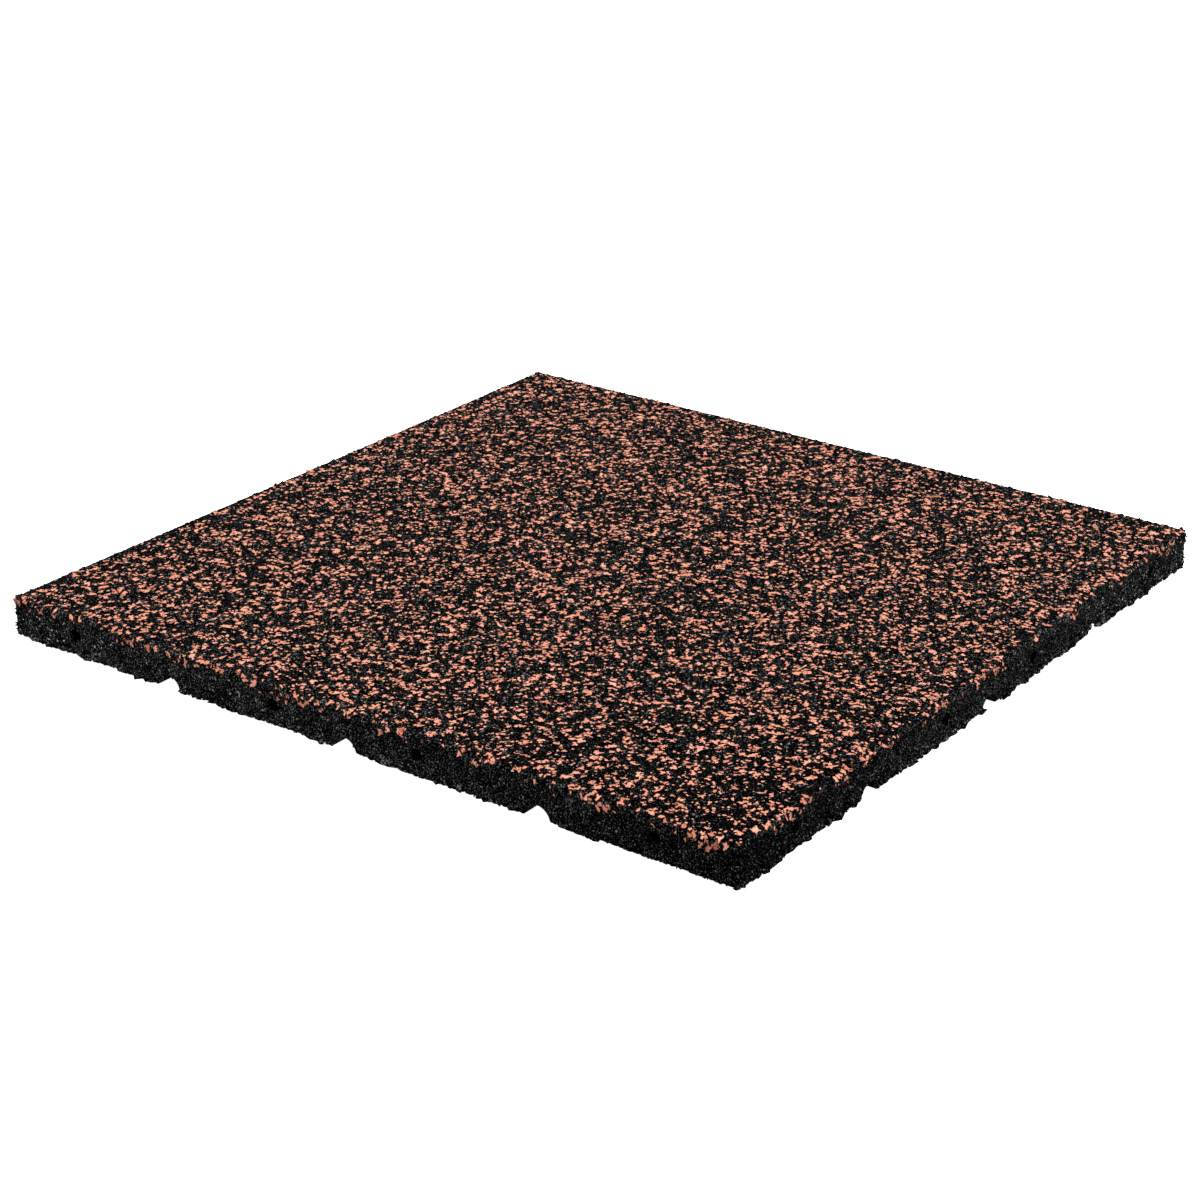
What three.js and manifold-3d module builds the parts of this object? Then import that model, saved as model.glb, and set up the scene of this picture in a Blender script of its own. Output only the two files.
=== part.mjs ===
// Rubber safety tile: a square slab of bonded rubber granulate, moulded as one piece.
// Millimetres, +Z up. The origin is the middle of the underside.

import * as THREE from 'three';
import * as BufferGeometryUtils from 'three/addons/utils/BufferGeometryUtils.js';
import Module from 'manifold-3d';

// Slab
const sideLength = 500;
const thickness = 24;
const topEdgeRadius = 3; // between the walking face and the sides
const bottomEdgeRadius = 2; // between the sides and the underside
const cornerRadius = 3; // the four upright corners

// Drainage channels, moulded across the underside both ways
const channelsEachWay = 3;
const channelPitch = 128; // from one channel's middle to the next, with one in the middle of the tile
const channelWidth = 17; // at the underside
const channelHeight = 8; // from the underside up to the crown

// Blind holes for the connector pins, four in each side at half the thickness
const pinHoleDiameter = 8;
const pinHoleDepth = 30;
const pinHoleStep = 50; // from the side's middle to the inner holes, and from its ends to the outer ones

// Facets, even numbers
const edgeFacets = 6; // in each rounded edge, a quarter of a turn
const channelFacets = 12; // in the half ellipse of a channel
const pinHoleFacets = 20; // round a pin hole
const cutOverrun = 5; // how far a cutting body reaches past the surface that it cuts

const wasm = await Module();
wasm.setup();

// A closed three.js geometry as a solid that can be joined and cut.
function toSolid(geometry) {
  const bare = geometry.clone();
  bare.deleteAttribute('normal');
  bare.deleteAttribute('uv');
  const merged = BufferGeometryUtils.mergeVertices(bare);
  return new wasm.Manifold(new wasm.Mesh({
    numProp: 3,
    vertProperties: new Float32Array(merged.attributes.position.array),
    triVerts: new Uint32Array(merged.index.array),
  }));
}

function toGeometry(solid) {
  const mesh = solid.getMesh();
  const geometry = new THREE.BufferGeometry();
  geometry.setAttribute('position', new THREE.BufferAttribute(mesh.vertProperties, 3));
  geometry.setIndex(new THREE.BufferAttribute(mesh.triVerts, 1));
  geometry.computeVertexNormals();
  return geometry;
}

// A rectangle about the vertical axis, from low to high, with one radius for its low corners and one for its
// high corners.
function roundedRectangle(width, low, high, lowRadius, highRadius) {
  const half = width / 2;
  const shape = new THREE.Shape();
  shape.moveTo(lowRadius - half, low);
  shape.absarc(half - lowRadius, low + lowRadius, lowRadius, -Math.PI / 2, 0);
  shape.absarc(half - highRadius, high - highRadius, highRadius, 0, Math.PI / 2);
  shape.absarc(highRadius - half, high - highRadius, highRadius, Math.PI / 2, Math.PI);
  shape.absarc(lowRadius - half, low + lowRadius, lowRadius, Math.PI, Math.PI * 1.5);
  return shape;
}

// An outline drawn out along its normal. An arc gets two facets for each of the curve segments asked for.
function drawnOut(shape, length, arcFacets) {
  return new THREE.ExtrudeGeometry(shape, {
    depth: length,
    bevelEnabled: false,
    curveSegments: arcFacets / 2,
  });
}

// A bar along Y, centred, from its section across (x) and up (y).
function bar(section, length, arcFacets) {
  const geometry = drawnOut(section, length, arcFacets);
  geometry.rotateX(Math.PI / 2);
  geometry.translate(0, length / 2, 0);
  return geometry;
}

// The slab: one bar along Y and one along X give the rounded edges, and an upright bar the rounded corners.
function slab() {
  const reach = sideLength + 2 * cutOverrun;
  const section = roundedRectangle(sideLength, 0, thickness, bottomEdgeRadius, topEdgeRadius);
  const alongY = bar(section, reach, edgeFacets);
  const alongX = alongY.clone().rotateZ(Math.PI / 2);
  const plan = roundedRectangle(sideLength, -sideLength / 2, sideLength / 2, cornerRadius, cornerRadius);
  const upright = drawnOut(plan, thickness + 2 * cutOverrun, edgeFacets);
  upright.translate(0, 0, -cutOverrun);
  return toSolid(alongY).intersect(toSolid(alongX)).intersect(toSolid(upright));
}

// One channel's cutting body, along Y through the middle of the tile.
function channelCutter() {
  const half = channelWidth / 2;
  const section = new THREE.Shape();
  section.moveTo(-half, -cutOverrun);
  section.lineTo(half, -cutOverrun);
  section.lineTo(half, 0);
  section.absellipse(0, 0, half, channelHeight, 0, Math.PI, false, 0);
  return bar(section, sideLength + 2 * cutOverrun, channelFacets);
}

function channels() {
  const cutters = [];
  for (let number = 0; number < channelsEachWay; number += 1) {
    const offset = (number - (channelsEachWay - 1) / 2) * channelPitch;
    const alongY = channelCutter().translate(offset, 0, 0);
    const alongX = alongY.clone().rotateZ(Math.PI / 2);
    cutters.push(toSolid(alongY), toSolid(alongX));
  }
  return cutters.reduce((joined, cutter) => joined.add(cutter));
}

// The cutting bodies of the four pin holes in the side that faces -Y.
function pinHolesOfOneSide() {
  const outerOffset = sideLength / 2 - pinHoleStep;
  const length = pinHoleDepth + cutOverrun;
  return [-outerOffset, -pinHoleStep, pinHoleStep, outerOffset].map((offset) => {
    const hole = new THREE.CylinderGeometry(pinHoleDiameter / 2, pinHoleDiameter / 2, length, pinHoleFacets);
    return hole.translate(offset, length / 2 - cutOverrun - sideLength / 2, thickness / 2);
  });
}

function pinHoles() {
  const cutters = [];
  for (let side = 0; side < 4; side += 1) {
    for (const hole of pinHolesOfOneSide()) {
      cutters.push(toSolid(hole.rotateZ(side * Math.PI / 2)));
    }
  }
  return cutters.reduce((joined, cutter) => joined.add(cutter));
}

const rubber = new THREE.MeshStandardMaterial({ color: 0x59423b, roughness: 0.9, metalness: 0 });

const rubberTile = new THREE.Mesh(toGeometry(slab().subtract(channels()).subtract(pinHoles())), rubber);
rubberTile.name = 'rubber_tile';

const tile = new THREE.Group();
tile.name = 'rubber_safety_tile';
tile.add(rubberTile);

export default tile;
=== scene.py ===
import math

import bmesh
import bpy
import numpy as np
from mathutils import Matrix, Vector, kdtree, noise


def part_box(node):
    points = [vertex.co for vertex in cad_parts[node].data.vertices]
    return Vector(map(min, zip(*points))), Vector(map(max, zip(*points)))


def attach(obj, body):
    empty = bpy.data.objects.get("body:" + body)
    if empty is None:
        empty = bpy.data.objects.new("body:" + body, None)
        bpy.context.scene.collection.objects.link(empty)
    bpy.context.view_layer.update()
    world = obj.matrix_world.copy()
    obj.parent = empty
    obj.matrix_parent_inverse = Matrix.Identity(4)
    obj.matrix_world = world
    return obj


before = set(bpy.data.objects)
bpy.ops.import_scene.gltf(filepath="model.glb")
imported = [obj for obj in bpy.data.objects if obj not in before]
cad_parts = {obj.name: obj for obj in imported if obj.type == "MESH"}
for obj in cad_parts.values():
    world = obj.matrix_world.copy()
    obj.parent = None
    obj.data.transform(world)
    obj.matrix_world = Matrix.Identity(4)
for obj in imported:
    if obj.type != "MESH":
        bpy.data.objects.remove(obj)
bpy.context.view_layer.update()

# Rubber safety tile: a slab of bonded rubber granulate, lying flat, in metres.
# The moulded slab is the CAD node. Its granules are laid over it here, as many small closed shapes joined.

tileNode = "rubber_tile"
tileLow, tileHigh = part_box(tileNode)
tile = {
    "side": tileHigh.x - tileLow.x,
    "top": tileHigh.z,
    "topEdge": 0.003,  # radius between the walking face and the sides
    "bottomEdge": 0.002,
    "corner": 0.003,  # radius of the upright corners
    "channels": (-0.128, 0.0, 0.128),  # middles of the drainage channels, each way
    "channelHalf": 0.0085,
    "channelHeight": 0.008,
    "pinHoles": (-0.2, -0.05, 0.05, 0.2),
    "pinHoleRadius": 0.004,
    "pinHoleRim": 0.0005,  # kept free of granules round each hole
}


# Camera, floor and light

view = {
    "position": (-1.2060, -0.8563, 0.6479),
    "aim": (-0.0306, -0.0083, 0.0120),
    "roll": 0.36,  # degrees
    "lens": 81.0,
    "sensor": 36.0,
    "sees": (0.05, 60.0),
}

studio = {
    "floorSize": 16.0,
    "floorDrop": 0.0005,  # below the slab, under the granules of its underside
    "floorColour": (0.90, 0.90, 0.895, 1.0),
    "floorGlow": 1.08,  # keeps the paper white beside the tile
    "sunStrength": 3.65,
    "sunSpread": 38.0,  # degrees
    "sunFrom": (-0.25, -0.42, 1.0),
    "skyStrength": 0.50,  # also stands for the light that the paper throws back
    "skySeen": 1.0,  # the sky as the camera sees it
    "skyColour": (1.0, 1.0, 1.0, 1.0),
}


def makeCamera():
    data = bpy.data.cameras.new("camera")
    data.lens = view["lens"]
    data.sensor_width = view["sensor"]
    data.sensor_fit = "HORIZONTAL"
    data.clip_start, data.clip_end = view["sees"]
    camera = bpy.data.objects.new("camera", data)
    bpy.context.scene.collection.objects.link(camera)
    position = Vector(view["position"])
    towards = Vector(view["aim"]) - position
    rolled = Matrix.Rotation(math.radians(view["roll"]), 3, "Z")
    turned = towards.to_track_quat("-Z", "Y").to_matrix() @ rolled
    camera.matrix_world = Matrix.Translation(position) @ turned.to_4x4()
    bpy.context.scene.camera = camera


# White paper that the tile lies on. The camera sees it from above, and it is clear to everything else,
# so that the sky lights the sides and the underside too.
def makePaper():
    paper = bpy.data.materials.new("studioFloor")
    paper.use_nodes = True
    nodes, links = paper.node_tree.nodes, paper.node_tree.links
    shader = nodes["Principled BSDF"]
    shader.inputs["Base Color"].default_value = studio["floorColour"]
    shader.inputs["Roughness"].default_value = 1.0
    shader.inputs["Specular IOR Level"].default_value = 0.0
    shader.inputs["Emission Color"].default_value = studio["floorColour"]
    shader.inputs["Emission Strength"].default_value = studio["floorGlow"]
    seenFromAbove = nodes.new("ShaderNodeMath")
    seenFromAbove.operation = "SUBTRACT"
    seenFromAbove.use_clamp = True
    links.new(nodes.new("ShaderNodeLightPath").outputs["Is Camera Ray"], seenFromAbove.inputs[0])
    links.new(nodes.new("ShaderNodeNewGeometry").outputs["Backfacing"], seenFromAbove.inputs[1])
    mix = nodes.new("ShaderNodeMixShader")
    links.new(seenFromAbove.outputs["Value"], mix.inputs["Fac"])
    links.new(nodes.new("ShaderNodeBsdfTransparent").outputs["BSDF"], mix.inputs[1])
    links.new(shader.outputs["BSDF"], mix.inputs[2])
    links.new(mix.outputs["Shader"], nodes["Material Output"].inputs["Surface"])
    return paper


def makeFloor():
    bm = bmesh.new()
    bmesh.ops.create_grid(bm, x_segments=2, y_segments=2, size=studio["floorSize"] / 2)
    bmesh.ops.translate(bm, verts=bm.verts, vec=(0, 0, tileLow.z - studio["floorDrop"]))
    mesh = bpy.data.meshes.new("floor")
    bm.to_mesh(mesh)
    bm.free()
    floor = bpy.data.objects.new("floor", mesh)
    bpy.context.scene.collection.objects.link(floor)
    mesh.materials.append(makePaper())


def makeLight():
    lamp = bpy.data.lights.new("softKey", "SUN")
    lamp.energy = studio["sunStrength"]
    lamp.angle = math.radians(studio["sunSpread"])
    key = bpy.data.objects.new("softKey", lamp)
    key.rotation_euler = Vector(studio["sunFrom"]).to_track_quat("Z", "Y").to_euler()
    bpy.context.scene.collection.objects.link(key)

    world = bpy.data.worlds.new("studioSky")
    world.use_nodes = True
    nodes, links = world.node_tree.nodes, world.node_tree.links
    strength = nodes.new("ShaderNodeMapRange")
    strength.inputs["To Min"].default_value = studio["skyStrength"]
    strength.inputs["To Max"].default_value = studio["skySeen"]
    links.new(nodes.new("ShaderNodeLightPath").outputs["Is Camera Ray"], strength.inputs["Value"])
    links.new(strength.outputs["Result"], nodes["Background"].inputs["Strength"])
    nodes["Background"].inputs["Color"].default_value = studio["skyColour"]
    bpy.context.scene.world = world
    bpy.context.scene.view_settings.view_transform = "Standard"
    bpy.context.scene.view_settings.look = "None"


makeCamera()
makeFloor()
makeLight()
print("camera, floor and light are up")


# Nodes that the materials share

def newMaterial(name):
    material = bpy.data.materials.new(name)
    material.use_nodes = True
    return material, material.node_tree.nodes, material.node_tree.links


def objectPlace(nodes):
    return nodes.new("ShaderNodeTexCoord").outputs["Object"]


def splitPlace(nodes, links):
    split = nodes.new("ShaderNodeSeparateXYZ")
    links.new(objectPlace(nodes), split.inputs["Vector"])
    return split.outputs["X"], split.outputs["Y"], split.outputs["Z"]


# A noise in every finish is given as its scale per metre, its detail and its roughness
def addNoise(nodes, links, perMetre, detail, roughness):
    texture = nodes.new("ShaderNodeTexNoise")
    texture.inputs["Scale"].default_value = perMetre
    texture.inputs["Detail"].default_value = detail
    texture.inputs["Roughness"].default_value = roughness
    links.new(objectPlace(nodes), texture.inputs["Vector"])
    return texture.outputs["Fac"]


# A ramp over stops that stand at the given places, from 0 to 1
def addRamp(nodes, links, value, places, stops):
    ramp = nodes.new("ShaderNodeValToRGB")
    elements = ramp.color_ramp.elements
    while len(elements) < len(places):
        elements.new(0.5)
    for element, place, colour in zip(elements, places, stops):
        element.position = place
        element.color = colour
    links.new(value, ramp.inputs["Fac"])
    return ramp.outputs["Color"]


# The value from low to high, taken to 0 to 1 and cut off there
def addRange(nodes, links, value, low, high):
    node = nodes.new("ShaderNodeMapRange")
    node.inputs["From Min"].default_value = low
    node.inputs["From Max"].default_value = high
    links.new(value, node.inputs["Value"])
    return node.outputs["Result"]


def addMaths(nodes, links, operation, *values):
    node = nodes.new("ShaderNodeMath")
    node.operation = operation
    for socket, value in zip(node.inputs, values):
        if isinstance(value, float):
            socket.default_value = value
        else:
            links.new(value, socket)
    return node.outputs["Value"]


def addMix(nodes, links, factor, first, second):
    node = nodes.new("ShaderNodeMix")
    node.data_type = "RGBA"
    for name, value in (("Factor_Float", factor), ("A_Color", first), ("B_Color", second)):
        socket = next(s for s in node.inputs if s.identifier == name)
        if isinstance(value, (float, tuple)):
            socket.default_value = value
        else:
            links.new(value, socket)
    return next(s for s in node.outputs if s.identifier == "Result_Color")


def addBump(nodes, links, height, strength, distance, before=None):
    bump = nodes.new("ShaderNodeBump")
    bump.inputs["Strength"].default_value = strength
    bump.inputs["Distance"].default_value = distance
    links.new(height, bump.inputs["Height"])
    if before is not None:
        links.new(before, bump.inputs["Normal"])
    return bump.outputs["Normal"]


# Roughness that follows the grain, from its hollows to its heights
def addRoughness(nodes, links, shader, grain, hollow, height):
    greys = [(level, level, level, 1.0) for level in (hollow, height)]
    links.new(addRamp(nodes, links, grain, (0.3, 0.7), greys), shader.inputs["Roughness"])


def readAttribute(nodes, name):
    node = nodes.new("ShaderNodeAttribute")
    node.attribute_type = "GEOMETRY"
    node.attribute_name = name
    return node.outputs["Fac"]


# The colours that a finish names, over its tones
def addColours(nodes, links, tone, settings):
    named = [colours[name] for name in settings["colours"]]
    return addRamp(nodes, links, tone, settings["tones"], named)


# The tone of each granule, made lighter and darker by its grain
def grainyTone(nodes, links, grain, contrast):
    tone = addMaths(nodes, links, "MULTIPLY_ADD", grain, contrast, -contrast / 2)
    return addMaths(nodes, links, "ADD", tone, readAttribute(nodes, "tone"))


# Materials

colours = {
    "terracottaDark": (0.400, 0.114, 0.062, 1.0),
    "terracottaMid": (0.710, 0.278, 0.179, 1.0),
    "terracottaLight": (0.835, 0.402, 0.294, 1.0),
    "blackDeep": (0.0002, 0.0002, 0.0002, 1.0),
    "blackMid": (0.0010, 0.0010, 0.0010, 1.0),
    "blackWorn": (0.0105, 0.0105, 0.0107, 1.0),
    "greyWorn": (0.044, 0.044, 0.045, 1.0),
    # greyShredAndGlint is the top tone of the grey shreds, and also the colour of the painted glints
    "greyShredAndGlint": (0.170, 0.171, 0.174, 1.0),
    "fibreMid": (0.300, 0.300, 0.298, 1.0),
    "fibrePale": (0.620, 0.620, 0.610, 1.0),
}

chipFinish = {
    "tones": (0.0, 0.5, 1.0),
    "colours": ("terracottaDark", "terracottaMid", "terracottaLight"),
    "grain": (1000.0, 3.0, 0.6),  # fine roughness of each chip
    "grainContrast": 1.3,
    "torn": (650.0, 1.0, 0.5),  # how finely the rims are torn
    "tornAtRim": 0.40,
    "rimShadeFrom": (0.765, 0.805),  # painted shade: a torn rim goes dark over this range, then painted shadow black over the next, for the shaded gaps round each chip
    "rimShadowFrom": (0.81, 0.82),
    "roughness": (0.70, 0.95),
    "shine": 0.25,
    "bump": (0.6, 0.0003),  # strength and height
}

blackFinish = {
    "tones": (0.0, 0.30, 0.55, 0.80, 1.0),  # where the colours stand on the scale of tones
    "colours": ("blackDeep", "blackMid", "blackWorn", "greyWorn", "greyShredAndGlint"),
    "patch": (125.0, 1.0, 0.5),
    "glint": (1500.0, 1.0, 0.5),  # painted glints: small grey specks where a torn face would catch the light
    "glinting": (0.68, 0.76),
    "shadedCorner": (-0.50, -0.24),  # x + y over which the painted shade of the near corner fades out, darkest at the near corner
    "cornerShadeBy": 0.18,
    "roughness": (0.85, 0.50),
    "shine": 0.004,
    "bump": (1.0, 0.0006),
}
# gapShadeAtRims is painted shade: each granule darker towards its rim, for the shaded gaps between granules
faceGrain = {"grain": (640.0, 2.0, 0.6), "contrast": 5.2, "gapShadeAtRims": 0.36, "patches": 0.0}
sideGrain = {"grain": (1000.0, 2.0, 0.6), "contrast": 4.3, "gapShadeAtRims": 0.06, "patches": 0.62}

slabFinish = {
    "granulesPerMetre": 520.0,
    "tone": 0.16,
    "toneRange": 0.30,
    "faceWithin": 0.0003,  # what lies this near the top is walking face
    "faceShade": 0.20,  # painted shade: how much darker the slab is there, in the gaps between the granules
    "lumps": (0.9, 0.0012),
    "holeHeights": (0.0083, 0.0180),  # only the pin holes reach into the slab between these heights
    "holeWithin": 0.2496,
}

fibreFinish = {
    "tones": (0.0, 0.5, 1.0),
    "colours": ("greyWorn", "fibreMid", "fibrePale"),
    "roughness": 0.8,
    "shine": 0.25,
}


# Terracotta chips: matt rubber, each its own tone, with a torn rim that goes dark and then black: painted
# shade and shadow of the gaps round each chip
def makeTerracotta():
    material, nodes, links = newMaterial("terracottaRubber")
    shader = nodes["Principled BSDF"]
    grain = addNoise(nodes, links, *chipFinish["grain"])
    tone = grainyTone(nodes, links, grain, chipFinish["grainContrast"])
    colour = addColours(nodes, links, tone, chipFinish)
    torn = addNoise(nodes, links, *chipFinish["torn"])
    rim = readAttribute(nodes, "rim")
    torn = addMaths(nodes, links, "MULTIPLY_ADD", rim, chipFinish["tornAtRim"], torn)
    # painted shade and painted shadow at each chip's torn rim
    dark = addRange(nodes, links, torn, *chipFinish["rimShadeFrom"])
    black = addRange(nodes, links, torn, *chipFinish["rimShadowFrom"])
    colour = addMix(nodes, links, dark, colour, colours["terracottaDark"])
    colour = addMix(nodes, links, black, colour, colours["blackDeep"])
    links.new(colour, shader.inputs["Base Color"])
    addRoughness(nodes, links, shader, grain, *chipFinish["roughness"])
    shader.inputs["Specular IOR Level"].default_value = chipFinish["shine"]
    links.new(addBump(nodes, links, grain, *chipFinish["bump"]), shader.inputs["Normal"])
    return material


# Pale fibres of the recycled rubber
def makeFibreGrey():
    material, nodes, links = newMaterial("fibreGrey")
    shader = nodes["Principled BSDF"]
    grain = addNoise(nodes, links, *chipFinish["grain"])
    tone = grainyTone(nodes, links, grain, chipFinish["grainContrast"])
    colour = addColours(nodes, links, tone, fibreFinish)
    links.new(colour, shader.inputs["Base Color"])
    shader.inputs["Roughness"].default_value = fibreFinish["roughness"]
    shader.inputs["Specular IOR Level"].default_value = fibreFinish["shine"]
    return material


# Black rubber: deep black with worn patches and painted grey glints, each granule darker at its rim as
# painted shade, and painted shade that darkens it towards the near corner
def addBlackRubber(nodes, links, shader, tone, grainKind, before=None):
    grain = addNoise(nodes, links, *grainKind["grain"])
    contrast, patches = grainKind["contrast"], grainKind["patches"]
    spread = addMaths(nodes, links, "MULTIPLY_ADD", grain, contrast, -contrast / 2)
    # painted shade: each granule darker towards its rim, for the shaded gaps between granules
    rim = readAttribute(nodes, "rim")
    tone = addMaths(nodes, links, "MULTIPLY_ADD", rim, -grainKind["gapShadeAtRims"], tone)
    broad = addNoise(nodes, links, *blackFinish["patch"])
    broad = addMaths(nodes, links, "MULTIPLY_ADD", broad, patches, -patches / 2)
    tone = addMaths(nodes, links, "ADD", broad, tone)
    tone = addMaths(nodes, links, "ADD", spread, tone)
    # painted shade: darker towards the near corner, where the light falls off
    x, y = splitPlace(nodes, links)[:2]
    diagonal = addMaths(nodes, links, "ADD", x, y)
    alongDiagonal = addRange(nodes, links, diagonal, *blackFinish["shadedCorner"])
    alongDiagonal = addMaths(nodes, links, "MULTIPLY_ADD", alongDiagonal, blackFinish["cornerShadeBy"], -blackFinish["cornerShadeBy"])
    tone = addMaths(nodes, links, "ADD", tone, alongDiagonal)
    colour = addColours(nodes, links, tone, blackFinish)
    # painted glints: small grey specks where a torn face would catch the light
    glint = addNoise(nodes, links, *blackFinish["glint"])
    glint = addRange(nodes, links, glint, *blackFinish["glinting"])
    colour = addMix(nodes, links, glint, colour, colours["greyShredAndGlint"])
    links.new(colour, shader.inputs["Base Color"])
    addRoughness(nodes, links, shader, grain, *blackFinish["roughness"])
    shader.inputs["Specular IOR Level"].default_value = blackFinish["shine"]
    links.new(addBump(nodes, links, grain, *blackFinish["bump"], before), shader.inputs["Normal"])


def makeBlackRubber(name, grainKind):
    material, nodes, links = newMaterial(name)
    addBlackRubber(nodes, links, nodes["Principled BSDF"], readAttribute(nodes, "tone"), grainKind)
    return material


# Painted shade: one inside the pin holes, where hardly any light gets, and nought everywhere else
def addHoleShadeMask(nodes, links):
    x, y, z = splitPlace(nodes, links)
    acrossX = addMaths(nodes, links, "ABSOLUTE", x)
    acrossY = addMaths(nodes, links, "ABSOLUTE", y)
    outermost = addMaths(nodes, links, "MAXIMUM", acrossX, acrossY)
    inside = addMaths(nodes, links, "LESS_THAN", outermost, slabFinish["holeWithin"])
    lowest, highest = slabFinish["holeHeights"]
    above = addMaths(nodes, links, "GREATER_THAN", z, lowest)
    below = addMaths(nodes, links, "LESS_THAN", z, highest)
    return addMaths(nodes, links, "MULTIPLY", inside, addMaths(nodes, links, "MULTIPLY", above, below))


# The slab behind the granules: the same rubber, seen in the gaps, in the channels and in the holes, with
# painted shade in the gaps of the walking face and inside the pin holes
def makeSlabRubber():
    material, nodes, links = newMaterial("slabRubber")
    cells = nodes.new("ShaderNodeTexVoronoi")
    cells.inputs["Scale"].default_value = slabFinish["granulesPerMetre"]
    links.new(objectPlace(nodes), cells.inputs["Vector"])
    split = nodes.new("ShaderNodeSeparateColor")
    links.new(cells.outputs["Color"], split.inputs["Color"])
    own = split.outputs["Red"]
    tone = addMaths(nodes, links, "MULTIPLY_ADD", own, slabFinish["toneRange"], slabFinish["tone"])
    # painted shade inside the pin holes
    tone = addMaths(nodes, links, "SUBTRACT", tone, addHoleShadeMask(nodes, links))
    height = splitPlace(nodes, links)[2]
    # painted shade in the gaps between the granules of the walking face
    onFace = addMaths(nodes, links, "GREATER_THAN", height, tile["top"] - slabFinish["faceWithin"])
    tone = addMaths(nodes, links, "MULTIPLY_ADD", onFace, -slabFinish["faceShade"], tone)
    hollow = addMaths(nodes, links, "SUBTRACT", 1.0, cells.outputs["Distance"])
    lumps = addBump(nodes, links, hollow, *slabFinish["lumps"])
    addBlackRubber(nodes, links, nodes["Principled BSDF"], tone, sideGrain, lumps)
    return material


terracotta = makeTerracotta()
fibreGrey = makeFibreGrey()
faceRubber = makeBlackRubber("faceRubber", faceGrain)
sideRubber = makeBlackRubber("sideRubber", sideGrain)
slabRubber = makeSlabRubber()
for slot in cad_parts[tileNode].material_slots:
    slot.material = slabRubber
print("materials are made")


# Shapes of single granules

# Each kind of granule has its own settings. Its places lie in jittered rows, "step" apart. A shape has a rim
# of "rimPoints", made uneven by "torn", "jag" and "rimWander", with a crown above and a root below, all in
# radii. A granule is stretched, leans and is lifted off the skin, and no point of it stands out further than
# "proud". "tone" is the middle of its tones, and "clear" is how far it keeps from the channels and holes.

granule = {
    "waves": (2, 3, 4),  # how often the rim of a shape swings out
    "waveSize": (0.3, 1.0),  # as a share of "torn"
    "offMiddle": 0.2,  # how far a crown or a root lies from the middle
}


# Closed shapes of few faces, in several variants
def granuleShapes(settings, rng):
    shapes = []
    for variant in range(settings["variants"]):
        bm = bmesh.new()
        bmesh.ops.create_uvsphere(bm, u_segments=settings["rimPoints"], v_segments=2, radius=1.0)
        bmesh.ops.triangulate(bm, faces=bm.faces)
        waves = [(k, rng.uniform(*granule["waveSize"]) * settings["torn"] / k ** 0.5,
                  rng.uniform(0, 2 * math.pi)) for k in granule["waves"]]
        rim = []
        for vert in bm.verts:
            rim.append(0.0 if vert.co.z > 0.5 else 1.0)
            if abs(vert.co.z) < 0.5:
                angle = math.atan2(vert.co.y, vert.co.x)
                reach = 1 + sum(size * math.cos(k * angle + phase) for k, size, phase in waves)
                reach = max(reach + rng.uniform(-1, 1) * settings["jag"], settings["leastReach"])
                wander = rng.uniform(-1, 1) * settings["rimWander"]
                vert.co = Vector((vert.co.x * reach, vert.co.y * reach, wander))
            else:
                height = settings["crown"] if vert.co.z > 0 else -settings["root"]
                off = granule["offMiddle"]
                vert.co = Vector((rng.uniform(-off, off), rng.uniform(-off, off), height))
        bm.verts.index_update()
        points = np.array([vert.co for vert in bm.verts])
        faces = np.array([[vert.index for vert in face.verts] for face in bm.faces])
        shapes.append((points, faces, np.array(rim)))
        bm.free()
    return shapes


# Frames that stand on the normals, each with its own turn and lean
def standingFrames(normals, turns, leans):
    helper = np.where(np.abs(normals[:, 2:3]) < 0.9, [[0.0, 0.0, 1.0]], [[1.0, 0.0, 0.0]])
    along = np.cross(helper, normals)
    along /= np.linalg.norm(along, axis=1, keepdims=True)
    across = np.cross(normals, along)
    cos, sin = np.cos(turns)[:, None], np.sin(turns)[:, None]
    along, across = along * cos + across * sin, across * cos - along * sin
    tilted = normals + along * np.tan(leans)[:, None]
    tilted /= np.linalg.norm(tilted, axis=1, keepdims=True)
    along = along - tilted * (along * tilted).sum(1, keepdims=True)
    along /= np.linalg.norm(along, axis=1, keepdims=True)
    return np.stack([along, np.cross(tilted, along), tilted], axis=2)


bed = {
    "under": 0.0004,  # how far granules may pass the slab, below and above
    "over": 0.0007,
    "neatSides": (0.0130, 0.0060),  # the sides get smoother from here to here below the top
    "neatTop": (0.0, 0.0060),  # and the walking face gets rougher from here to here inside its edges
    "neatTo": 0.35,  # the share of "proud" that is left where it is smoothest
    "lessBelow": 0.5,  # the share by which granules that face down stand out less
    "leanMost": 0.8,
}
shredBed = {**bed, "over": 0.0028, "neatTo": 1.0}  # shreds and hairs stand as they were torn


# How far each granule may stand out of the skin, where the mould pressed it flat
def proudOf(settings, places, normals, bed, rng):
    proud = rng.uniform(*settings["proud"], len(places))
    proud = proud * (1 + bed["lessBelow"] * normals[:, 2].clip(-1, 0))
    neatSide = np.interp(places[:, 2], tile["top"] - np.array(bed["neatSides"]), (1, bed["neatTo"]))
    inward = tile["side"] / 2 - np.abs(places[:, :2]).max(1)
    neatTop = np.interp(inward, bed["neatTop"], (bed["neatTo"], 1))
    onSide = np.abs(normals[:, 2]) < 0.999
    return proud * np.where(onSide, neatSide, neatTop)


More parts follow.
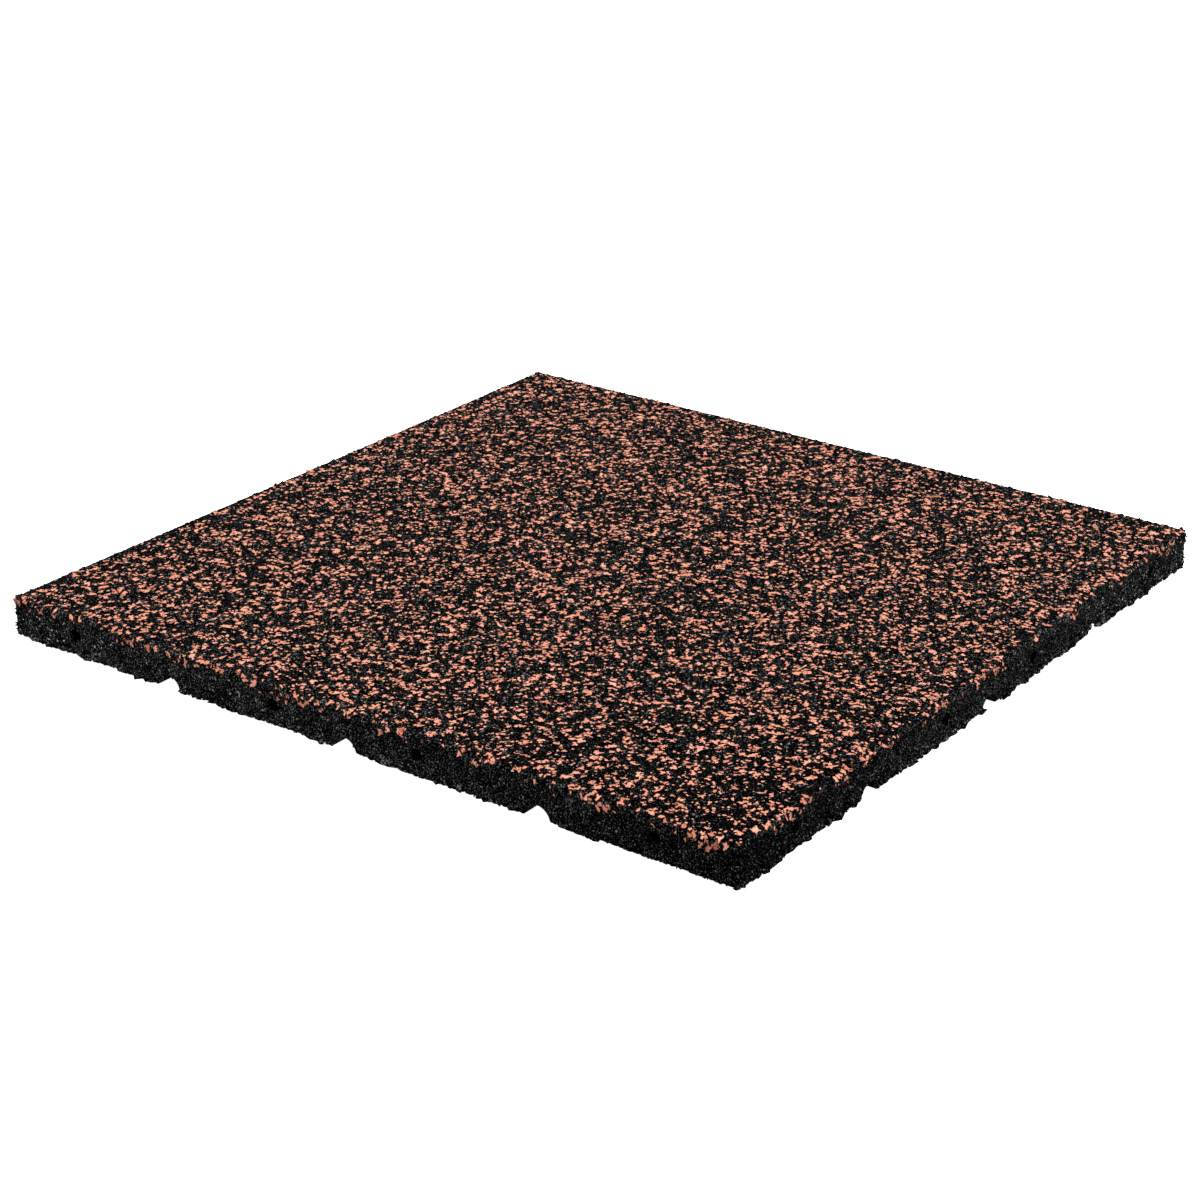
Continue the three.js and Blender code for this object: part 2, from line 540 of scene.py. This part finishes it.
# Granules of one kind as one mesh
def layGranules(name, settings, places, normals, radii, tones, material, layout, rng, bed=bed):
    count = len(places)
    factor = np.exp(rng.normal(0, settings["stretch"], count))
    sizes = np.stack([radii * factor ** 0.5, radii / factor ** 0.5, radii], axis=1)
    leans = rng.normal(0, settings["lean"], count).clip(-bed["leanMost"], bed["leanMost"])
    frames = standingFrames(normals, rng.uniform(0, 2 * math.pi, count), leans)
    centres = places + normals * rng.uniform(*settings["lift"], count)[:, None]
    proud = proudOf(settings, places, normals, bed, rng)
    shapes = granuleShapes(settings, rng)
    choice = rng.integers(0, len(shapes), count)
    points, faces, toneValues, rimValues, spots = [], [], [], [], []
    offset = 0
    for number, (shape, shapeFaces, rim) in enumerate(shapes):
        own = np.flatnonzero(choice == number)
        local = shape[None] * sizes[own][:, None]
        world = np.einsum("nij,nmj->nmi", frames[own], local) + centres[own][:, None]
        upright = normals[own][:, None]
        over = ((world - places[own][:, None]) * upright).sum(2) - proud[own][:, None]
        world = world - over.clip(0)[..., None] * upright
        world[..., 2] = world[..., 2].clip(tileLow.z - bed["under"], tile["top"] + bed["over"])
        points.append(world.reshape(-1, 3))
        starts = offset + np.arange(len(own))[:, None, None] * len(shape)
        faces.append((shapeFaces[None] + starts).reshape(-1, 3))
        toneValues.append(np.repeat(tones[own], len(shape)))
        rimValues.append(np.tile(rim, len(own)))
        spots.append(layout(world, places[own]).reshape(-1, 2))
        offset += len(own) * len(shape)
    points, faces, spots = np.concatenate(points), np.concatenate(faces), np.concatenate(spots)
    mesh = bpy.data.meshes.new(name)
    mesh.from_pydata(points.tolist(), [], faces.tolist())
    for label, values in (("tone", toneValues), ("rim", rimValues)):
        attribute = mesh.attributes.new(label, "FLOAT", "POINT")
        attribute.data.foreach_set("value", np.concatenate(values).astype(np.float32))
    unwrapped = mesh.uv_layers.new(name="OFBake")
    unwrapped.data.foreach_set("uv", spots[faces.ravel()].astype(np.float32).ravel())
    mesh.materials.append(material)
    piece = bpy.data.objects.new(name, mesh)
    bpy.context.scene.collection.objects.link(piece)
    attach(piece, "root")
    print(name, count, "granules,", len(faces), "triangles")


picture = {"width": 0.96, "strips": 4, "stripHeight": 0.2}


# Where a granule's picture lies: seen from above for a face, or in four strips for the sides
def faceLayout(world, places):
    return (world[..., :2] / tile["side"]) * picture["width"] + 0.5


def sideLayout(world, places):
    x, y = places[:, 0], places[:, 1]
    row = np.where(np.abs(x) > np.abs(y), np.where(x > 0, 1, 3), np.where(y > 0, 2, 0))
    run = np.where((row % 2 == 1)[:, None], world[..., 1], world[..., 0])
    up = (world[..., 2] - tile["top"] / 2) / tile["top"] * picture["stripHeight"]
    across = (row[:, None] + 0.5) / picture["strips"] + up
    return np.stack([run / tile["side"] * picture["width"] + 0.5, across], axis=-1)


granuleMix = {
    "smallBias": 1.4,  # above 1, more granules are small than large
    "blackSpread": 0.11,  # how far tones lie from the middle one
    "blackMost": 0.7,
    "wornShare": 0.004,  # of the black granules, with the tone below
    "wornTone": 0.9,
    "chipSpread": 0.17,
}


def mixedRadii(settings, count, rng):
    least, most = settings["radius"]
    return least + (most - least) * rng.uniform(0, 1, count) ** granuleMix["smallBias"]


def blackTones(settings, count, rng):
    tones = rng.normal(settings["tone"], granuleMix["blackSpread"], count).clip(0, granuleMix["blackMost"])
    tones[rng.uniform(0, 1, count) < granuleMix["wornShare"]] = granuleMix["wornTone"]
    return tones


def chipTones(settings, count, rng):
    return rng.normal(settings["tone"], granuleMix["chipSpread"], count).clip(0, 1)


# Places on the tile

seeds = {"walkingFace": 11, "sides": 23, "underside": 37}  # other numbers lay the granules anew


def jitteredRows(width, height, step, jitter, rng):
    rows = max(1, int(height / (step * math.sqrt(0.75))))
    columns = max(1, int(width / step))
    gridY, gridX = np.mgrid[0:rows, 0:columns].astype(float)
    x = (gridX + 0.25 + 0.5 * (gridY % 2)) * width / columns
    y = (gridY + 0.5) * height / rows
    x = x + rng.uniform(-jitter, jitter, x.shape) * step
    y = y + rng.uniform(-jitter, jitter, y.shape) * step
    return x.ravel(), y.ravel()


def patchiness(points, perMetre, seed):
    return np.array([noise.noise(Vector(p) * perMetre + Vector((seed, 0.0, 0.0))) for p in points])


# The skin between the walking face and the underside, unrolled: how far round, and how far down
skin = {
    "straight": tile["side"] - 2 * tile["corner"],
    "topArc": tile["topEdge"] * math.pi / 2,
    "wall": tile["top"] - tile["topEdge"] - tile["bottomEdge"],
    "bottomArc": tile["bottomEdge"] * math.pi / 2,
}
skin["quarter"] = skin["straight"] + tile["corner"] * math.pi / 2
skin["around"] = 4 * skin["quarter"]
skin["down"] = skin["topArc"] + skin["wall"] + skin["bottomArc"]


# Points of the skin with their normals, and how far each lies from the middle of its side
def skinPoint(around, down):
    side, corner, straight = tile["side"], tile["corner"], skin["straight"]
    number = np.floor(around / skin["quarter"]).astype(int) % 4
    run = around % skin["quarter"]
    angle = np.clip((run - straight) / corner, 0, math.pi / 2)
    lengthwise = np.minimum(run, straight) - straight / 2
    localX = lengthwise + corner * np.sin(angle)
    localY = -side / 2 + corner * (1 - np.cos(angle))
    outX, outY = np.sin(angle), -np.cos(angle)
    topArc, wall = skin["topArc"], skin["wall"]
    topAngle = np.clip(down / tile["topEdge"], 0, math.pi / 2)
    bottomAngle = np.clip((down - topArc - wall) / tile["bottomEdge"], 0, math.pi / 2)
    inset = tile["topEdge"] * (1 - np.sin(topAngle)) + tile["bottomEdge"] * (1 - np.cos(bottomAngle))
    z = tile["top"] - tile["topEdge"] * (1 - np.cos(topAngle))
    z = z - np.clip(down - topArc, 0, wall) - tile["bottomEdge"] * np.sin(bottomAngle)
    level = np.where(down < topArc, np.sin(topAngle), np.cos(bottomAngle))
    upward = np.where(down < topArc, np.cos(topAngle), -np.sin(bottomAngle))
    px, py = localX - outX * inset, localY - outY * inset
    turn = number * math.pi / 2
    cos, sin = np.cos(turn), np.sin(turn)
    places = np.stack([px * cos - py * sin, px * sin + py * cos, z], axis=1)
    awayX, awayY = outX * cos - outY * sin, outX * sin + outY * cos
    normals = np.stack([awayX * level, awayY * level, upward], axis=1)
    return places, normals, localX


# Rows round the whole tile, over so much of its skin's depth
def skinRows(settings, depth, rng):
    around, down = jitteredRows(skin["around"], depth, settings["step"], settings["jitter"], rng)
    return around % skin["around"], down


def inOpening(along, z, margin):
    hidden = np.zeros(len(along), bool)
    for middle in tile["pinHoles"]:
        fromMiddle = np.hypot(along - middle, z - tile["top"] / 2)
        hidden |= fromMiddle < tile["pinHoleRadius"] + margin + tile["pinHoleRim"]
    for middle in tile["channels"]:
        half, height = tile["channelHalf"] + margin, tile["channelHeight"] + margin
        hidden |= np.hypot((along - middle) / half, z / height) < 1
    return hidden


# Walking face

chipKinds = {
    "terracotta_shreds": {
        "step": 0.0068, "share": 0.41, "members": (1, 1), "spread": 0.0008, "variants": 70, "rimPoints": 14,
        "torn": 0.50, "jag": 0.30, "leastReach": 0.18, "rimWander": 0.04, "crown": 0.10, "root": 0.5,
        "radius": (0.0014, 0.0029), "stretch": 0.42, "lean": 0.04, "lift": (0.0001, 0.0003),
        "proud": (0.00020, 0.00045), "tone": 0.55,
    },
    "terracotta_chips": {
        "step": 0.0050, "share": 0.55, "members": (1, 2), "spread": 0.0011, "variants": 60, "rimPoints": 9,
        "torn": 0.34, "jag": 0.28, "leastReach": 0.3, "rimWander": 0.05, "crown": 0.12, "root": 0.6,
        "radius": (0.00085, 0.0016), "stretch": 0.40, "lean": 0.06, "lift": (0.0001, 0.0003),
        "proud": (0.00020, 0.00048), "tone": 0.55,
    },
    "terracotta_specks": {
        "step": 0.0046, "share": 0.56, "members": (1, 1), "spread": 0.0010, "variants": 40, "rimPoints": 5,
        "torn": 0.25, "jag": 0.25, "leastReach": 0.35, "rimWander": 0.06, "crown": 0.2, "root": 0.8,
        "radius": (0.0005, 0.0011), "stretch": 0.35, "lean": 0.1, "lift": (0.0001, 0.0003),
        "proud": (0.00020, 0.00045), "tone": 0.55,
    },
}
chipRows = {
    "jitter": 0.45,
    "widePerMetre": 26.0,  # wide and close patches with more chips and with fewer
    "wide": 0.20,
    "wideSeed": 3.7,
    "closePerMetre": 100.0,
    "close": 1.2,
    "closeSeed": 9.2,
    "thinWithin": 0.006,  # fewer chips beside the edges
    "thinTo": 0.75,
    "bareWithin": (0.0032, 0.0050),  # and fewer still along +X and +Y
    "bareTo": 0.50,
}


# Chips of one kind, more of them where the patches say and fewer beside the edges
def chipPlaces(settings, rng):
    reach = tile["side"] / 2 - tile["topEdge"]
    x, y = jitteredRows(2 * reach, 2 * reach, settings["step"], chipRows["jitter"], rng)
    points = np.stack([x - reach, y - reach, np.zeros_like(x)], axis=1)
    wide = patchiness(points, chipRows["widePerMetre"], chipRows["wideSeed"])
    close = patchiness(points, chipRows["closePerMetre"], chipRows["closeSeed"])
    share = settings["share"] * (1 + (chipRows["wide"] * wide + chipRows["close"] * close))
    inward = tile["side"] / 2 - np.abs(points).max(1)
    share = share * np.interp(inward, (0, chipRows["thinWithin"]), (chipRows["thinTo"], 1))
    inwardFar = tile["side"] / 2 - points[:, :2].max(1)
    share = share * np.interp(inwardFar, chipRows["bareWithin"], (chipRows["bareTo"], 1))
    centres = points[rng.uniform(0, 1, len(x)) < share]
    fewest, most = settings["members"]
    members = np.repeat(centres, rng.integers(fewest, most + 1, len(centres)), axis=0)
    places = members + rng.normal(0, settings["spread"], members.shape)
    places = places[np.abs(places[:, :2]).max(1) < reach]
    places[:, 2] = tile["top"]
    return places


blackTop = {
    "step": 0.00295, "jitter": 0.45, "variants": 60, "rimPoints": 6, "torn": 0.3, "jag": 0.3,
    "leastReach": 0.35, "rimWander": 0.15, "crown": 0.4, "root": 0.7, "radius": (0.0009, 0.0020),
    "stretch": 0.40, "lean": 0.20, "lift": (-0.0003, 0.0001), "proud": (0.00008, 0.00055), "tone": 0.42,
    "hiddenBy": 0.0011,  # chips with a greater radius hide the black granules under them
    "hiddenWithin": 0.5,  # and those are this near the chip's middle, in its radii
}


# Black granules that a chip would hide are left out
def uncovered(places, covers):
    tree = kdtree.KDTree(len(covers))
    for number, (place, radius) in enumerate(covers):
        tree.insert(place, number)
    tree.balance()
    kept = np.ones(len(places), bool)
    for number, place in enumerate(places):
        nearest, index, distance = tree.find(place)
        kept[number] = distance > blackTop["hiddenWithin"] * covers[index][1]
    return kept


def makeWalkingFace():
    rng = np.random.default_rng(seeds["walkingFace"])
    upward = np.array([[0.0, 0.0, 1.0]])
    covers = []
    for name, settings in chipKinds.items():
        places = chipPlaces(settings, rng)
        radii = mixedRadii(settings, len(places), rng)
        tones = chipTones(settings, len(places), rng)
        layGranules(name, settings, places, upward.repeat(len(places), 0), radii, tones, terracotta,
                    faceLayout, rng)
        covers += [(place, radius) for place, radius in zip(places, radii) if radius > blackTop["hiddenBy"]]
    reach = tile["side"] - 2 * tile["topEdge"]
    x, y = jitteredRows(reach, reach, blackTop["step"], blackTop["jitter"], rng)
    places = np.stack([x - reach / 2, y - reach / 2, np.full(len(x), tile["top"])], axis=1)
    places = places[uncovered(places, covers)]
    tones = blackTones(blackTop, len(places), rng)
    radii = mixedRadii(blackTop, len(places), rng)
    left = places[:, 0] < 0
    for name, own in (("black_granules_left", left), ("black_granules_right", ~left)):
        layGranules(name, blackTop, places[own], upward.repeat(own.sum(), 0), radii[own], tones[own],
                    faceRubber, faceLayout, rng)


# Edges and sides

def laySide(name, settings, around, down, material, tones, rng, bed=bed):
    places, normals = skinPoint(around, down)[:2]
    radii = mixedRadii(settings, len(around), rng)
    layGranules(name, settings, places, normals, radii, tones, material, sideLayout, rng, bed)


# Which points of the skin are clear of the channels and the pin holes
def clearOf(settings, around, down):
    places, normals, along = skinPoint(around, down)
    return ~inOpening(along, places[:, 2], settings["clear"])


sideGranules = {
    "step": 0.0023, "jitter": 0.5, "variants": 60, "rimPoints": 7, "torn": 0.3, "jag": 0.3,
    "leastReach": 0.35, "rimWander": 0.2, "crown": 0.6, "root": 0.9, "radius": (0.0007, 0.0017),
    "stretch": 0.35, "lean": 0.40, "lift": (-0.0007, 0.0003), "proud": (0.0001, 0.0012), "tone": 0.39,
    "clear": 0.0002,
}


def makeSideGranules(rng):
    around, down = skinRows(sideGranules, skin["down"], rng)
    down = down.clip(0, skin["down"])
    kept = clearOf(sideGranules, around, down)
    around, down = around[kept], down[kept]
    tones = blackTones(sideGranules, len(around), rng)
    front = around < skin["around"] / 2
    for name, own in (("side_granules_front", front), ("side_granules_back", ~front)):
        laySide(name, sideGranules, around[own], down[own], sideRubber, tones[own], rng)


lowerEdge = {
    "step": 0.0021, "jitter": 0.5, "variants": 40, "rimPoints": 7, "torn": 0.35, "jag": 0.3,
    "leastReach": 0.35, "rimWander": 0.2, "crown": 0.6, "root": 0.9, "radius": (0.0008, 0.0020),
    "stretch": 0.35, "lean": 0.35, "lift": (-0.0003, 0.0006), "proud": (0.0002, 0.0012), "tone": 0.36,
    "clear": 0.0004,
    "upFrom": (0.0012, 0.0055),  # how far up the skin they lie, from the underside
    "wavesPerMetre": 48.0,
    "waveSeed": 5.3,
    "waveBlend": 0.3,
    "offCorners": -0.003,  # below nought they go round the corners
}
edgeLumps = {
    "step": 0.0036, "jitter": 0.5, "variants": 40, "rimPoints": 9, "torn": 0.22, "jag": 0.15,
    "leastReach": 0.5, "rimWander": 0.15, "crown": 1.6, "root": 1.2, "radius": (0.0019, 0.0042),
    "stretch": 0.30, "lean": 0.20, "lift": (0.0, 0.0008), "proud": (0.0007, 0.0037), "tone": 0.36,
    "clear": 0.0004,
    "upFrom": (0.0004, 0.0042),
    "wavesPerMetre": 44.0,
    "waveSeed": 5.3,
    "waveBlend": 0.3,
    "offCorners": 0.006,
}


# The torn, wavy lower edge: granules and lumps that come and go along it
def makeLowerEdge(rng):
    for name, settings in (("lower_edge_granules", lowerEdge), ("lower_edge_lumps", edgeLumps)):
        least, most = settings["upFrom"]
        around, up = skinRows(settings, most - least, rng)
        down = skin["down"] - least - up
        places, normals, along = skinPoint(around, down)
        waves = patchiness(places, settings["wavesPerMetre"], settings["waveSeed"])
        kept = rng.uniform(-settings["waveBlend"], settings["waveBlend"], len(around)) < waves
        kept &= clearOf(settings, around, down)
        kept &= np.abs(along) < tile["side"] / 2 - settings["offCorners"]
        around, down = around[kept], down[kept]
        tones = blackTones(settings, len(around), rng)
        laySide(name, settings, around, down, sideRubber, tones, rng)


strayShreds = {
    "variants": 24, "rimPoints": 4, "torn": 0.3, "jag": 0.3, "leastReach": 0.4, "rimWander": 0.5,
    "crown": 4.5, "root": 2.0, "radius": (0.0003, 0.0006), "stretch": 0.4, "lean": 0.7,
    "lift": (0.0, 0.0002), "proud": (0.0008, 0.0020), "tone": 0.36, "clear": 0.0004,
    "count": 900,  # round the whole tile
    "fromEdge": 0.0035,  # how far down from the upper edge, or up from the lower one
    "shareAbove": 0.015,  # the share of them at the upper edge
}
cornerShreds = {
    **strayShreds, "crown": 5.5, "radius": (0.0004, 0.0009), "lean": 0.5, "proud": (0.0008, 0.0029),
    "count": 36,  # at each upright corner
    "nearCorner": 0.0022,
    "fromEdge": 0.0100,
    "shareAbove": 0.6,
}


# Hairs at the upright corners, and shreds anywhere along the edges
def makeShreds(rng):
    corners = (np.arange(4) + 1) * skin["around"] / 4 - tile["corner"] * math.pi / 4
    atCorners = np.repeat(corners, cornerShreds["count"])
    atCorners = atCorners + rng.normal(0, cornerShreds["nearCorner"], len(atCorners))
    anywhere = rng.uniform(0, skin["around"], strayShreds["count"])
    for name, settings, around in (("corner_shreds", cornerShreds, atCorners),
                                   ("stray_shreds", strayShreds, anywhere)):
        around = around % skin["around"]
        down = rng.uniform(0.0, settings["fromEdge"], len(around))
        above = rng.uniform(0, 1, len(around)) < settings["shareAbove"]
        down = np.where(above, down, skin["down"] - down)
        kept = clearOf(settings, around, down)
        around, down = around[kept], down[kept]
        tones = blackTones(settings, len(around), rng)
        laySide(name, settings, around, down, sideRubber, tones, rng, shredBed)


sideChips = {
    "step": 0.0032, "jitter": 0.5, "variants": 60, "rimPoints": 10, "torn": 0.45, "jag": 0.32,
    "leastReach": 0.3, "rimWander": 0.06, "crown": 0.15, "root": 0.6, "radius": (0.0007, 0.0025),
    "stretch": 0.35, "lean": 0.10, "lift": (0.0002, 0.0004), "proud": (0.0004, 0.0009), "tone": 0.45,
    "clear": 0.0,
    "downTo": 0.0090,  # how far down the skin the last of them lie
    "share": 0.68,
    "patchesPerMetre": 55.0,
    "patchSeed": 8.1,
    "patches": 0.8,
    "farFrom": 0.2465,  # places beyond this x or y are on the far sides
    "farWithin": 0.003,  # where fewer chips lie this near the top
    "farShare": 0.5,
}


# Chips that spill over the upper edge, fewer of them the further down
def makeSideChips(rng):
    depth = sideChips["downTo"]
    around, down = skinRows(sideChips, depth, rng)
    down = down.clip(0, skin["down"])
    places = skinPoint(around, down)[0]
    patches = patchiness(places, sideChips["patchesPerMetre"], sideChips["patchSeed"])
    share = sideChips["share"] * (1 - down / depth) + sideChips["patches"] * patches
    far = (places[:, :2].max(1) > sideChips["farFrom"]) & (down < sideChips["farWithin"])
    share = np.where(far, sideChips["farShare"] * share, share)
    kept = (rng.uniform(0, 1, len(around)) < share) & clearOf(sideChips, around, down)
    around, down = around[kept], down[kept]
    tones = chipTones(sideChips, len(around), rng)
    laySide("side_chips", sideChips, around, down, terracotta, tones, rng)


fibres = {
    "step": 0.0046, "jitter": 0.5, "variants": 30, "rimPoints": 4, "torn": 0.2, "jag": 0.25,
    "leastReach": 0.4, "rimWander": 0.1, "crown": 0.2, "root": 0.5, "radius": (0.0003, 0.0008),
    "stretch": 0.9, "lean": 0.15, "lift": (0.0004, 0.0008), "proud": (0.0009, 0.0014), "tone": 0.5,
    "clear": 0.0006,
    "downFrom": (0.0060, 0.0230),  # how far down the skin they lie
    "share": 0.5,
    "patchesPerMetre": 60.0,
    "patchSeed": 2.9,
    "patches": 1.4,
    "alongDiagonal": (-0.20, -0.06, 0.06, 0.20),  # x + y over which they begin, are all there and end
}


# Pale fibres in the rubber of the sides, where it is worn
def makeFibres(rng):
    least, most = fibres["downFrom"]
    around, down = skinRows(fibres, most - least, rng)
    down = down + least
    places = skinPoint(around, down)[0]
    patches = patchiness(places, fibres["patchesPerMetre"], fibres["patchSeed"])
    share = fibres["share"] + fibres["patches"] * patches
    share = share * np.interp(places[:, :2].sum(1), fibres["alongDiagonal"], (0, 1, 1, 0))
    kept = (rng.uniform(0, 1, len(around)) < share) & clearOf(fibres, around, down)
    around, down = around[kept], down[kept]
    tones = chipTones(fibres, len(around), rng)
    laySide("pale_fibres", fibres, around, down, fibreGrey, tones, rng)


def makeSides():
    rng = np.random.default_rng(seeds["sides"])
    makeSideGranules(rng)
    makeLowerEdge(rng)
    makeShreds(rng)
    makeSideChips(rng)
    makeFibres(rng)


# Underside and drainage channels

undersideGranules = {
    "step": 0.0051, "jitter": 0.45, "variants": 40, "rimPoints": 5, "torn": 0.25, "jag": 0.3,
    "leastReach": 0.4, "rimWander": 0.2, "crown": 0.5, "root": 0.8, "radius": (0.0014, 0.0028),
    "stretch": 0.35, "lean": 0.2, "lift": (-0.0003, 0.0), "proud": (0.0001, 0.0004), "tone": 0.56,
}


def underPads(rng):
    reach = tile["side"] - 2 * tile["bottomEdge"]
    x, y = jitteredRows(reach, reach, undersideGranules["step"], undersideGranules["jitter"], rng)
    x, y = x - reach / 2, y - reach / 2
    kept = np.ones(len(x), bool)
    for middle in tile["channels"]:
        kept &= np.abs(x - middle) > tile["channelHalf"]
        kept &= np.abs(y - middle) > tile["channelHalf"]
    places = np.stack([x, y, np.full(len(x), tileLow.z)], axis=1)[kept]
    return places, np.array([[0.0, 0.0, -1.0]]).repeat(len(places), 0)


# One channel's wall, along Y: how far along, and how far round its half ellipse
def channelWall(middle, rng):
    half, height = tile["channelHalf"], tile["channelHeight"]
    reach = tile["side"] - 2 * tile["bottomEdge"]
    run, turn = jitteredRows(reach, math.pi * math.sqrt((half * half + height * height) / 2),
                             undersideGranules["step"], undersideGranules["jitter"], rng)
    run, turn = run - reach / 2, (turn / turn.max() * math.pi).clip(0, math.pi)
    places = np.stack([middle + half * np.cos(turn), run, height * np.sin(turn)], axis=1)
    inward = np.stack([-np.cos(turn) / half, np.zeros_like(turn), -np.sin(turn) / height], axis=1)
    inward /= np.linalg.norm(inward, axis=1, keepdims=True)
    kept = np.ones(len(run), bool)
    for crossing in tile["channels"]:
        kept &= np.hypot((run - crossing) / half, places[:, 2] / height) > 1
    return places[kept], inward[kept]


def makeUnderside():
    rng = np.random.default_rng(seeds["underside"])
    parts = [underPads(rng)]
    for middle in tile["channels"]:
        parts.append(channelWall(middle, rng))
        places, normals = channelWall(middle, rng)
        parts.append((places[:, [1, 0, 2]], normals[:, [1, 0, 2]]))  # turned, for the channel along X
    places = np.concatenate([part[0] for part in parts])
    normals = np.concatenate([part[1] for part in parts])
    radii = mixedRadii(undersideGranules, len(places), rng)
    tones = blackTones(undersideGranules, len(places), rng)
    layGranules("underside_granules", undersideGranules, places, normals, radii, tones, sideRubber,
                faceLayout, rng)


makeWalkingFace()
makeSides()
makeUnderside()
